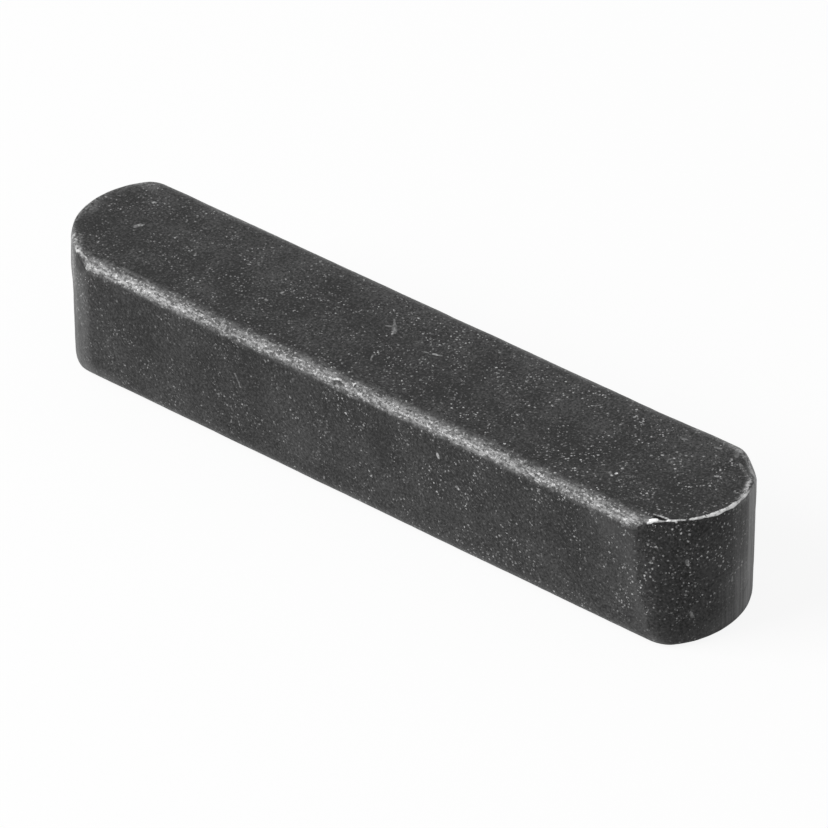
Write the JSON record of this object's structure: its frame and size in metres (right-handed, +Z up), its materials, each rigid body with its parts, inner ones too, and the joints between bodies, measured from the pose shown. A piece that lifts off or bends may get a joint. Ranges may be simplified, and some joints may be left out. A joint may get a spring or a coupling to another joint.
{
  "type": "parallel key",
  "caption": "Round-ended parallel key: a dark steel bar with rounded long edges and two upright round ends, for driving a hub from a shaft's keyway.",
  "frame": {"origin": "middle of the bottom face, on the surface that the key lies on", "axes": "+X along the key towards the end with the wider softened rim, +Y across the key from flank to flank, +Z up through the top face"},
  "size_m": [0.04, 0.008, 0.007],
  "materials": {
    "key_steel": "dark grey-black oxidised key steel, dull satin and finely grained, worn brighter on the rounded long edges and the rims of the ends"
  },
  "bodies": {
    "root": {"parallel_key": "key_steel"}
  },
  "joints": []
}
